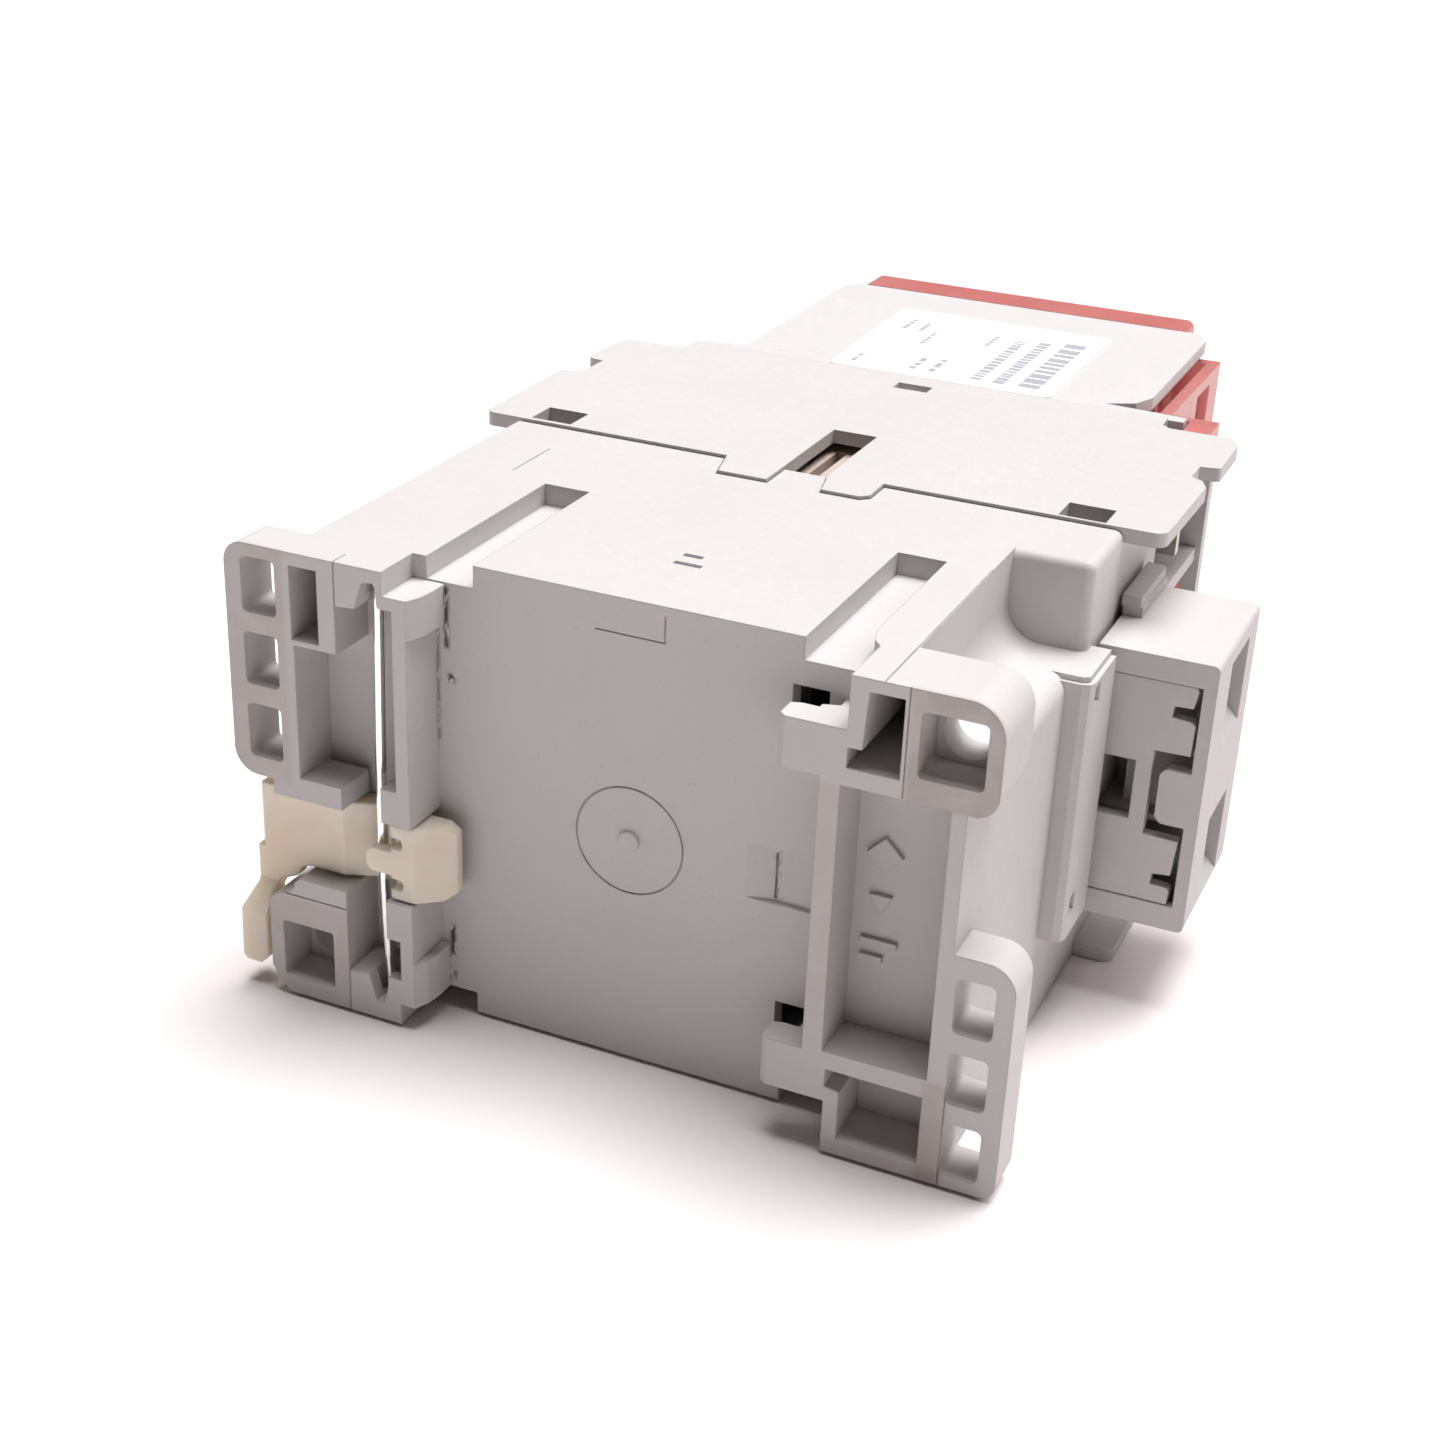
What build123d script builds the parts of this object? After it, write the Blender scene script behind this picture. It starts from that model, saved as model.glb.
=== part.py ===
from build123d import *
import os

# Three-pole contactor with a fourth contact, a front auxiliary block and a safety cover.
# Row frame, millimetres: X runs along the contactor's height (latch end at -X, coil terminals
# at +X), Y is the depth with the mounting plane at Y = 0 and the front at +Y, and Z is the
# width. The contactor lies on one side. The origin is the middle of the two fixing holes.
#
# Places are written from a drawing datum: x from the latch-end edge of the base, y from the
# mounting plane and z from the lower side face. at() and block() move them to the row frame.

LENGTH = 74.0               # base over its two slotted flanges
WIDTH = 45.0                # nominal width, the dimension every other length is scaled from
HOLE_PITCH_X = 60.0         # fixing hole spacing along the height
HOLE_PITCH_Z = 35.0         # fixing hole spacing across the width
HOLE_D = 4.5

BACK = 5.1                  # depth of the recessed back face, where the rail lips rest
FLANGE_T = 4.5
LUG_T = 7.6
WALL_BACK = 1.8
BASE_X = (6.0, 68.6)
BASE_Z = (0.2, 44.8)
JOINT = 41.7                # joint between base housing and contact housing
CHANNEL = (18.4, 56.2)      # rail channel between the latch rib and the fixed hooks
PLATE_Z = (-0.1, 45.1)      # outer faces of the contact housing's side plates
PLATE_T = 1.4
FRONT = 76.8                # front face of the contact housing
HOOD = 73.4                 # front face over the main terminals

STROKE = 5.0                # magnet travel
OVERTRAVEL = 1.5            # contact spring compression after the contacts touch
TOUCH = 0.05                # gap left between two contact faces that meet
POLES = [WIDTH / 2 + k * 10.3 for k in (-1.5, -0.5, 0.5, 1.5)]
POLE_W = 8.8
MID = LENGTH / 2            # x of the moving contact carrier's axis
LINE_SCREW = 8.7            # x of the line-side terminal screws
LOAD_SCREW = LENGTH - 8.7

CORE_X = 17.8               # half length of the E-shaped magnet
CORE_Z = (15.5, 29.5)
CORE_Y = 8.4
YOKE_T = 5.5
LIMB_TOP = 25.5
ARM_Y = LIMB_TOP + STROKE + 0.1
ARM_YOKE = (36.2, 41.0)
MID_LIMB = 4.2
END_LIMB = 4.5

AUX_Y = (77.0, 112.5)
COVER_Y = (112.7, 118.4)


def at(x, z):
    """A datum (x, z) pair in the row frame."""
    return (x - LENGTH / 2, z - WIDTH / 2)


def block(x, y, z, mode=Mode.ADD):
    """An axis-aligned block between datum limits, added to or cut from the open part."""
    cx, cz = at(sum(x) / 2, sum(z) / 2)
    with Locations((cx, sum(y) / 2, cz)):
        Box(x[1] - x[0], y[1] - y[0], z[1] - z[0], mode=mode)


def plate(points, y, mode=Mode.ADD):
    """An outline of datum (x, z) points, as thick as the two depths in y."""
    with BuildSketch(Plane.XZ.offset(-y[0])) as outline:
        with BuildLine():
            Polyline([at(*p) for p in points], close=True)
        make_face()
    extrude(outline.sketch, amount=y[0] - y[1], mode=mode)


def side_plate(points, z, mode=Mode.ADD):
    """An outline of datum (x, y) points, as wide as the two heights in z."""
    with BuildSketch(Plane.XY.offset(z[0] - WIDTH / 2)) as outline:
        with BuildLine():
            Polyline([(x - LENGTH / 2, y) for x, y in points], close=True)
        make_face()
    extrude(outline.sketch, amount=z[1] - z[0], mode=mode)


def end_plate(points, x, mode=Mode.ADD):
    """An outline of (y, datum z) points, as long as the two limits in x."""
    with BuildSketch(Plane.YZ.offset(x[0] - LENGTH / 2)) as outline:
        with BuildLine():
            Polyline([(y, z - WIDTH / 2) for y, z in points], close=True)
        make_face()
    extrude(outline.sketch, amount=x[1] - x[0], mode=mode)


def rod_y(x, z, radius, y, mode=Mode.ADD):
    """A round bar or hole along Y."""
    with BuildSketch(Plane.XZ.offset(-y[0])) as outline:
        with Locations(at(x, z)):
            Circle(radius)
    extrude(outline.sketch, amount=y[0] - y[1], mode=mode)


def window(x, z, y, radius):
    """A hole with rounded corners, cut through the two depths in y."""
    with BuildSketch(Plane.XZ.offset(-y[0])) as outline:
        with Locations(at(sum(x) / 2, sum(z) / 2)):
            RectangleRounded(x[1] - x[0], z[1] - z[0], radius)
    extrude(outline.sketch, amount=y[0] - y[1], mode=Mode.SUBTRACT)


def edges_at(part, axis, **place):
    """Edges of a part along an axis whose middle lies at the given row-frame places."""
    def near(edge):
        c = edge.center()
        return all(abs(getattr(c, k.upper()) - v) < 0.05 for k, v in place.items())
    return [e for e in part.edges().filter_by(axis) if near(e)]


def mirrored(z):
    """The same pair of heights measured from the other side face."""
    return (WIDTH - z[1], WIDTH - z[0])


def save(builder, name):
    builder.part.label = name
    export_step(builder.part, "parts/" + name + ".step")


def screw(x, z, y, head_r, shank_r, head_t, mode=Mode.ADD):
    """A slotted cheese-head screw along Y, from its tip at y[0] to its head's face at y[1]."""
    rod_y(x, z, shank_r, (y[0], y[1] - head_t), mode)
    rod_y(x, z, head_r, (y[1] - head_t, y[1]), mode)
    slot = head_r * 0.14
    block((x - head_r, x + head_r), (y[1] - head_t * 0.45, y[1] + 1), (z - slot, z + slot), Mode.SUBTRACT)


def coil_spring(x, z, y, radius, wire, turns):
    """A round-wire helical spring along Y with plain ends."""
    height = y[1] - y[0] - wire
    cx, cz = at(x, z)
    with BuildLine() as path:
        Helix(pitch=height / turns, height=height, radius=radius,
              center=(cx, y[0] + wire / 2, cz), direction=(0, 1, 0))
    with BuildSketch(Plane(origin=path.wire() @ 0, z_dir=path.wire() % 0)) as outline:
        Circle(wire / 2)
    sweep(outline.sketch, path=path.wire())


# ---------------------------------------------------------------- base housing
LATCH_GAP = (12.9, 20.85)   # opening in the latch rib that the hook slides through
FLANGE_WINDOWS = ((38.4, 43.6), (31.5, 36.5), (24.4, 29.6))
HOOKS = ((35.6, 40.1), (5.3, 9.9))
SIDE_SLOTS = ((17.3, 21.9), (52.4, 56.9))
SLOT_DEPTH = 2.05
WIRE_X = 14.6
WIRE_Y = 2.1
WIRE_R = 0.48
SLOT_END = 26.4
NOTCH_X = 61.1
NOTCH_Z = 36.4
NOTCH_Y = 32.3
CARRIER_X = (31.2, 42.8)    # slot that the contact carrier slides in
TOOTH_Y = 37.4
TOOTH_CUTS = (((28.7, 42.8), (28.7, 41.8), (29.8, TOOTH_Y - 0.15), (35.15, TOOTH_Y - 0.15), (35.15, 42.8)),
              ((39.4, 42.8), (39.4, 41.8), (40.5, TOOTH_Y - 0.15), (44.5, TOOTH_Y - 0.15), (45.35, 38.1),
               (45.35, 42.8)))


def base_body():
    """The closed box of the base: body, coil shroud and the corners cut for the fixing lugs."""
    block((BASE_X[0], NOTCH_X), (BACK, JOINT), BASE_Z)
    block((NOTCH_X, BASE_X[1]), (NOTCH_Y, JOINT), BASE_Z)
    block((NOTCH_X, BASE_X[1]), (BACK, NOTCH_Y), (BASE_Z[0], NOTCH_Z))


def base_shroud():
    """Stepped shroud that hangs over the coil terminals, with two catch slots in its end."""
    side_plate([(60.0, 26.5), (70.0, 26.5), (70.7, 26.8), (71.0, 27.5), (71.0, 34.2), (60.0, 34.2)],
               (10.0, NOTCH_Z - 0.5))
    side_plate([(60.0, 27.0), (70.0, 27.0), (70.5, 27.4), (70.5, 34.2), (60.0, 34.2)], (10.0, NOTCH_Z))
    for z in ((12.5, 14.4), (33.6, 35.4)):
        block((70.4, 72.0), (27.6, 29.2), z, Mode.SUBTRACT)


def base_back_walls():
    """Ribs, flanges and boxes that stand on the back face, up to the mounting plane."""
    # latch end: slotted flange, box beside it and the strip that leads into the latch rib
    block((0, 6.9), (0, FLANGE_T), (22.5, BASE_Z[1]))
    block((BASE_X[0], 6.9), (0, BACK), (21.0, BASE_Z[1]))
    block((4.0, 11.2), (0, FLANGE_T), (21.0, 23.2))
    block((5.3, 11.2), (0, FLANGE_T), (36.2, BASE_Z[1]))
    block((BASE_X[0], 11.2), (0, BACK), (36.2, BASE_Z[1]))
    plate([(11.0, BASE_Z[1]), (15.97, BASE_Z[1]), (15.97, 42.6), (18.2, 42.6), (18.2, 41.4), (15.64, 41.4),
           (15.46, 41.63), (15.4, 43.1), (15.1, 43.6), (14.0, 43.45), (13.24, 40.9), (11.0, 40.75)], (0, BACK))
    # latch rib, with thicker brackets at its ends and feet beside the latch
    for z in ((LATCH_GAP[1], 42.6), (2.3, LATCH_GAP[0])):
        block((16.9, 18.25), (0, BACK), z)
    for z in ((38.9, 42.6), (2.3, 6.9)):
        side_plate([(16.9, 0), (18.3, 0), (18.9, 1.4), (19.1, 3.0), (19.1, BACK), (16.9, BACK)], z)
    for z in ((9.0, LATCH_GAP[0]), (2.3, 4.9)):
        block((15.5, 17.0), (0, 1.2), z)
    block((15.3, 17.0), (0, BACK), (LATCH_GAP[1], 24.25))
    # lower latch-end box with the first fixing hole
    plate([(2.8, 2.6), (2.8, 9.7), (3.4, 10.4), (5.1, 11.1), (5.6, 11.6), (5.7, 12.2), (6.3, 12.7),
           (11.3, 12.7), (11.3, BASE_Z[0]), (4.6, BASE_Z[0]), (3.8, 1.1)], (0, LUG_T))
    plate([(11.3, BASE_Z[0]), (11.3, 4.45), (13.5, 4.65), (14.2, 2.0), (15.1, 2.0), (15.5, 4.0), (16.8, 4.0),
           (16.8, BASE_Z[0])], (0, BACK))
    # coil end: trough, boxes and the rib behind the fixed rail hooks
    plate([(58.3, BASE_Z[1]), (58.3, 40.1), (56.2, 40.1), (56.2, HOOKS[1][0]), (58.4, HOOKS[1][0]),
           (58.4, BASE_Z[0]), (BASE_X[1], BASE_Z[0]), (BASE_X[1], 40.0), (60.0, BASE_Z[1])], (0, BACK))
    block((58.3, 71.0), (0, LUG_T), (35.1, BASE_Z[1]))
    block((BASE_X[1] - 1, 74.0), (0, FLANGE_T), (BASE_Z[0], 22.6))


def base_back_cuts():
    """Windows, pockets and the trough in the back walls."""
    for z in FLANGE_WINDOWS:
        window((1.7, 5.2), z, (-1, FLANGE_T + 1), 0.5)
        window((69.0, 72.4), mirrored(z), (-1, FLANGE_T + 1), 0.6)
    block((6.7, 9.5), (-1, 14), (36.7, 43.6), Mode.SUBTRACT)
    plate([(59.9, 43.7), (62.85, 43.7), (62.85, 36.8), (58.0, 36.8), (58.0, 38.6), (59.6, 38.6)],
          (-1, 6.9), Mode.SUBTRACT)
    plate([(59.9, 43.7), (60.6, 43.7), (60.6, 36.8), (58.0, 36.8), (58.0, 38.6), (59.6, 38.6)],
          (-1, 16), Mode.SUBTRACT)
    plate([(58.0, 8.5), (67.05, 8.4), (67.05, 1.75), (59.75, 1.8), (59.75, 6.5), (58.0, 6.8)],
          (-1, BACK), Mode.SUBTRACT)
    block((58.0, 67.3), (-1, BACK), (10.2, 35.2), Mode.SUBTRACT)
    window((64.25, 69.7), (37.35, 43.05), (-1, 4.2), 0.5)
    window((4.25, 9.7), (2.0, 7.85), (-1, 4.2), 0.3)
    # trenches between the wire and the rib, and the seat that the latch wire lies in
    block((15.3, 16.9), (BACK - 0.1, 9), (24.25, 41.4), Mode.SUBTRACT)
    block((15.7, 16.9), (BACK - 0.1, 9), (4.9, 9.0), Mode.SUBTRACT)
    block((WIRE_X - 1.1, WIRE_X + 0.6), (1.3, WIRE_Y + 0.6), (1.9, 43.45), Mode.SUBTRACT)
    # shallow thumb recess in the back face beside the hook rib
    side_plate([(48.3, BACK - 1), (48.3, BACK), (50.9, BACK + 0.5), (56.2, BACK + 0.3), (56.2, BACK - 1)],
               (19.8, 25.1), Mode.SUBTRACT)
    block((50.8, 51.0), (BACK, BACK + 0.75), (20.1, 24.5), Mode.SUBTRACT)


def base_marks():
    """Moulding marks: ejector ring, insert outline and parting lines."""
    with BuildSketch(Plane.XZ.offset(-BACK)) as outline:
        with Locations(at(37.2, 22.3)):
            Circle(5.2)
            Circle(5.05, mode=Mode.SUBTRACT)
    extrude(outline.sketch, amount=-0.15, mode=Mode.SUBTRACT)
    rod_y(37.2, 22.3, 0.95, (BACK - 0.3, BACK + 0.2))
    for x, z in (((33.6, 40.1), (41.5, 41.62)), ((39.98, 40.1), (41.5, 43.9))):
        block(x, (BACK - 1, BACK + 0.12), z, Mode.SUBTRACT)
    for x, y in (((61.0, 61.1), (0, SLOT_END)), ((12.75, 12.87), (28.2, 35.5)), ((11.15, 11.25), (0, 2.0))):
        block(x, y, (BASE_Z[1] - 0.12, BASE_Z[1] + 1), Mode.SUBTRACT)
    block((11.2, 11.3), (-1, 0.12), (36.3, BASE_Z[1]), Mode.SUBTRACT)
    block((11.3, 11.4), (-1, 0.12), (BASE_Z[0], 4.5), Mode.SUBTRACT)
    block((3.6, 11.2), (-1, 0.12), (10.8, 10.9), Mode.SUBTRACT)
    block((63.15, 63.25), (-1, 0.12), (35.1, BASE_Z[1]), Mode.SUBTRACT)
    block((68.95, 69.05), (-1, 0.12), (BASE_Z[0], 9.9), Mode.SUBTRACT)


def trough_marks():
    """Raised plain marks in the trough: a diamond, a triangle and two bars."""
    floor = (BACK - 0.4, BACK + 0.2)
    plate([(60.6, 28.8), (62.2, 27.2), (60.6, 25.6), (59.0, 27.2)], floor)
    plate([(59.5, 23.4), (61.5, 23.4), (60.5, 21.4)], floor)
    for end, z in ((62.2, 18.6), (61.0, 17.0)):
        block((59.0, end), floor, (z, z + 0.55))


def base_interior():
    """Magnet chamber, coil terminal passage and the mould core slots behind the hooks."""
    block((17.6, 56.4), (BACK + WALL_BACK, JOINT + 1), (4.9, 40.1), Mode.SUBTRACT)
    block((56.3, 66.8), (24.0, JOINT + 1), (10.5, 34.5), Mode.SUBTRACT)
    block((66.7, 75.0), (35.4, JOINT + 1), (10.5, 34.5), Mode.SUBTRACT)
    block((8.0, 16.4), (17.5, JOINT + 1), (9.5, 42.6), Mode.SUBTRACT)
    block(CARRIER_X, (38.8, JOINT + 1), (1.9, 43.1), Mode.SUBTRACT)
    for z in HOOKS:
        block((51.6, 54.8), (2.9, BACK + WALL_BACK + 0.1), (z[0], z[1] + 0.4), Mode.SUBTRACT)


def base_housing():
    with BuildPart() as base:
        base_body()
        # rounded foot of the lug notch and rounded shroud edge
        fillet(edges_at(base.part, Axis.Y, x=NOTCH_X - LENGTH / 2, z=NOTCH_Z - WIDTH / 2), 3.4)
        fillet(edges_at(base.part, Axis.Y, x=BASE_X[1] - LENGTH / 2, z=NOTCH_Z - WIDTH / 2), 1.8)
        # softened corner block above the lug
        corner = edges_at(base.part, Axis.Y, x=BASE_X[1] - LENGTH / 2, z=BASE_Z[1] - WIDTH / 2)
        corner += edges_at(base.part, Axis.X, y=NOTCH_Y, z=BASE_Z[1] - WIDTH / 2)
        corner += edges_at(base.part, Axis.Z, x=BASE_X[1] - LENGTH / 2, y=NOTCH_Y)
        fillet(corner, 0.9)
        base_shroud()
        base_back_walls()
        base_back_cuts()
        for z in HOOKS:
            side_plate([(52.4, 0.5), (53.0, 0), (58.4, 0), (58.4, 3.9), (56.1, 3.9), (52.4, 2.6)], z)
        # lower latch-end corner is cut away in front of its fixing lug
        block((5.0, 13.4), (LUG_T, NOTCH_Y), (-1, 8.6), Mode.SUBTRACT)
        for x in SIDE_SLOTS:
            for z in ((BASE_Z[0] - 1, BASE_Z[0] + SLOT_DEPTH), (BASE_Z[1] - SLOT_DEPTH, BASE_Z[1] + 1)):
                block(x, (BACK - 1, SLOT_END), z, Mode.SUBTRACT)
        # flared ends of the side slots, where the rail slides past
        for z in ((BASE_Z[1] - SLOT_DEPTH, BASE_Z[1] + 1), (BASE_Z[0] - 1, BASE_Z[0] + SLOT_DEPTH)):
            side_plate([(56.8, BACK - 1), (58.3, BACK - 1), (58.3, 6.3), (57.5, 7.2), (56.8, 9.5)],
                       z, Mode.SUBTRACT)
        base_interior()
        for cut in TOOTH_CUTS:
            for z in ((BASE_Z[1] - 1.0, 46), (-1, BASE_Z[0] + 1.0)):
                side_plate(cut, z, Mode.SUBTRACT)
        base_marks()
        trough_marks()
        for x, z in ((MID - HOLE_PITCH_X / 2, (WIDTH - HOLE_PITCH_Z) / 2),
                     (MID + HOLE_PITCH_X / 2, (WIDTH + HOLE_PITCH_Z) / 2)):
            rod_y(x, z, HOLE_D / 2, (-1, LUG_T + 1), Mode.SUBTRACT)
        # rounded corners of the flanges and the fixing lug
        for x, z, r in ((0, BASE_Z[1], 2.0), (0, 22.5, 2.4), (74.0, BASE_Z[0], 1.6), (74.0, 22.6, 2.6),
                        (71.0, BASE_Z[1], 3.0), (71.0, 35.1, 2.0)):
            fillet(edges_at(base.part, Axis.Y, x=x - LENGTH / 2, z=z - WIDTH / 2), r)
    save(base, "base_housing")


# ---------------------------------------------------------------- rail latch
def rail_latch():
    low, high = LATCH_GAP[0] + 0.25, LATCH_GAP[1] - 0.25
    with BuildPart() as latch:
        # flat slide over the back face, thinner under the spring wire
        side_plate([(0.5, 2.9), (1.3, 2.0), (9.9, 2.0), (11.0, 2.5), (12.3, 3.0), (12.7, 3.2), (17.5, 3.2),
                    (17.5, BACK - 0.3), (0.5, BACK - 0.3)], (low, high))
        fillet(edges_at(latch.part, Axis.Y, x=0.5 - LENGTH / 2, z=high - WIDTH / 2), 1.0)
        # pull tab that comes forward beside the box, below the slide
        plate([(0.5, 14.0), (0.5, 10.2), (-0.6, 7.8), (-0.7, 2.7), (-0.3, 2.2), (1.3, 2.2), (2.1, 3.0),
               (2.2, 9.6), (2.9, 10.9), (4.7, 11.7), (5.2, 12.7), (6.2, 13.1), (6.6, 14.0)], (0.3, 3.4))
        end_plate([(-1, 7.6), (0.3, 7.6), (0.8, 8.4), (2.0, 10.6), (2.0, 14.5), (-1, 14.5)], (-1.2, 7.0),
                  Mode.SUBTRACT)
        # hook with a ramp for the rail lip, and a nose that reaches over the spring wire
        side_plate([(15.9, 0.4), (18.2, 0.4), (21.3, 2.9), (21.3, 3.8), (17.5, 3.8), (17.5, 4.4), (15.9, 4.4)],
                   (low, high))
        chamfer(edges_at(latch.part, Axis.Y, x=21.3 - LENGTH / 2), 1.0, 0.7)
        plate([(16.0, 15.5), (16.0, 17.9), (13.8, 17.9), (13.3, 17.3), (13.3, 16.1), (13.8, 15.5)], (0.4, 1.35))
        for z in (14.65, 18.85):
            window((15.2, 17.1), (z - 0.55, z + 0.55), (-0.1, 1.3), 0.35)
    save(latch, "rail_latch")


def latch_spring():
    """Bowed steel wire across the latch, held at both ends by the base."""
    points = [(WIRE_X - 0.25, 43.3), (WIRE_X - 0.45, 30.0), (WIRE_X - 0.55, 17.0), (WIRE_X, 2.2)]
    with BuildPart() as wire:
        with BuildLine() as path:
            Spline([(*at(x, z)[:1], WIRE_Y, at(x, z)[1]) for x, z in points])
        with BuildSketch(Plane(origin=path.wire() @ 0, z_dir=path.wire() % 0)) as outline:
            Circle(WIRE_R)
        sweep(outline.sketch, path=path.wire())
    save(wire, "latch_spring")


# ---------------------------------------------------------------- magnet and coil
def limb_spans():
    return ((MID - CORE_X, MID - CORE_X + END_LIMB), (MID - MID_LIMB, MID + MID_LIMB),
            (MID + CORE_X - END_LIMB, MID + CORE_X))


RING_BARS = ((16.8, 17.6), (22.2, 23.0))
RING_Y = (23.9, 25.2)


def magnet():
    with BuildPart() as pad:
        block((MID - CORE_X, MID + CORE_X), (7.0, CORE_Y - 0.05), CORE_Z)
        for x in (MID - 9, MID + 9):
            block((x - 3, x + 3), (6.0, 9.0), (20.5, 24.5), Mode.SUBTRACT)
    save(pad, "core_cushion")

    with BuildPart() as core:
        block((MID - CORE_X, MID + CORE_X), (CORE_Y, CORE_Y + YOKE_T), CORE_Z)
        for x in limb_spans():
            block(x, (CORE_Y, LIMB_TOP), CORE_Z)
        for x in (limb_spans()[0], limb_spans()[2]):
            for z in RING_BARS:
                block((x[0] - 1, x[1] + 1), (RING_Y[0] - 0.1, LIMB_TOP + 1), (z[0] - 0.05, z[1] + 0.05),
                      Mode.SUBTRACT)
        for x in (MID - 15.5, MID, MID + 15.5):
            with Locations((*at(x, 0)[:1], CORE_Y + YOKE_T / 2, 0)):
                Cylinder(1.0, 20, mode=Mode.SUBTRACT)
    save(core, "fixed_core")

    with BuildPart() as rivets:
        for x in (MID - 15.5, MID, MID + 15.5):
            with Locations((*at(x, 0)[:1], CORE_Y + YOKE_T / 2, 0)):
                Cylinder(0.98, CORE_Z[1] - CORE_Z[0] + 1.6)
    save(rivets, "core_rivets")

    with BuildPart() as rings:
        for x in (limb_spans()[0], limb_spans()[2]):
            block((x[0] - 0.8, x[1] + 0.8), RING_Y, (RING_BARS[0][0], RING_BARS[1][1]))
            block((x[0] - 0.05, x[1] + 0.05), (RING_Y[0] - 1, RING_Y[1] + 1), (RING_BARS[0][1], RING_BARS[1][0]),
                  Mode.SUBTRACT)
    save(rings, "shading_rings")

    with BuildPart() as armature:
        block((MID - CORE_X, MID + CORE_X), ARM_YOKE, CORE_Z)
        for x in limb_spans():
            block(x, (ARM_Y, ARM_YOKE[1]), CORE_Z)
        rod = (ARM_YOKE[0] + ARM_YOKE[1]) / 2
        with Locations((0, rod, 0)):
            Cylinder(1.1, 20, mode=Mode.SUBTRACT)
    save(armature, "armature")

    with BuildPart() as pin:
        with Locations((0, rod, 0)):
            Cylinder(1.05, 18.6)
    save(pin, "armature_pin")


BOBBIN_Y = (14.2, 30.8)
TUBE_X = (MID - MID_LIMB - 0.4, MID + MID_LIMB + 0.4)
TUBE_Z = (CORE_Z[0] - 0.4, CORE_Z[1] + 0.4)
TUBE_T = 0.9
LEAD_Z = ((11.6, 14.2), (30.8, 33.4))
COIL_POLES = (14.8, 30.3)
COIL_SCREW = 75.2


def grow(pair, by):
    return (pair[0] - by, pair[1] + by)


def coil():
    with BuildPart() as bobbin:
        block((24.7, 49.3), (BOBBIN_Y[0], BOBBIN_Y[0] + 1.1), (7.0, 38.0))
        block((24.7, 49.3), (BOBBIN_Y[1] - 1.1, BOBBIN_Y[1]), (7.0, 38.0))
        block(grow(TUBE_X, TUBE_T), BOBBIN_Y, grow(TUBE_Z, TUBE_T))
        block(TUBE_X, (BOBBIN_Y[0] - 1, BOBBIN_Y[1] + 1), TUBE_Z, Mode.SUBTRACT)
        for z in LEAD_Z:
            block((48.9, 56.0), (BOBBIN_Y[1] - 1.1, BOBBIN_Y[1]), grow(z, 0.8))
    save(bobbin, "coil_bobbin")

    with BuildPart() as winding:
        block((25.3, 48.7), (BOBBIN_Y[0] + 1.15, BOBBIN_Y[1] - 1.15), (8.0, 37.0))
        fillet(winding.edges().filter_by(Axis.Y), 4.0)
        block(grow(TUBE_X, TUBE_T + 0.02), (0, 40), grow(TUBE_Z, TUBE_T + 0.02), Mode.SUBTRACT)
    save(winding, "coil_winding")

    with BuildPart() as leads:
        for z in LEAD_Z:
            side_plate([(52.4, 30.85), (53.4, 30.85), (53.4, 38.5), (71.4, 38.5), (71.4, 41.9), (78.0, 41.9),
                        (78.0, 42.7), (70.6, 42.7), (70.6, 39.3), (52.4, 39.3)], z)
        for z in COIL_POLES:
            rod_y(COIL_SCREW, z, 1.55, (41, 44), Mode.SUBTRACT)
    save(leads, "coil_terminal_strips")


# ---------------------------------------------------------------- coil terminal block
COIL_X = (69.0, 80.1)
COIL_Y = (35.5, 53.0)
COIL_Z = (8.9, 36.2)
COIL_WALL = 1.25
TRAY_Z = (11.4, 33.85)


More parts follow.
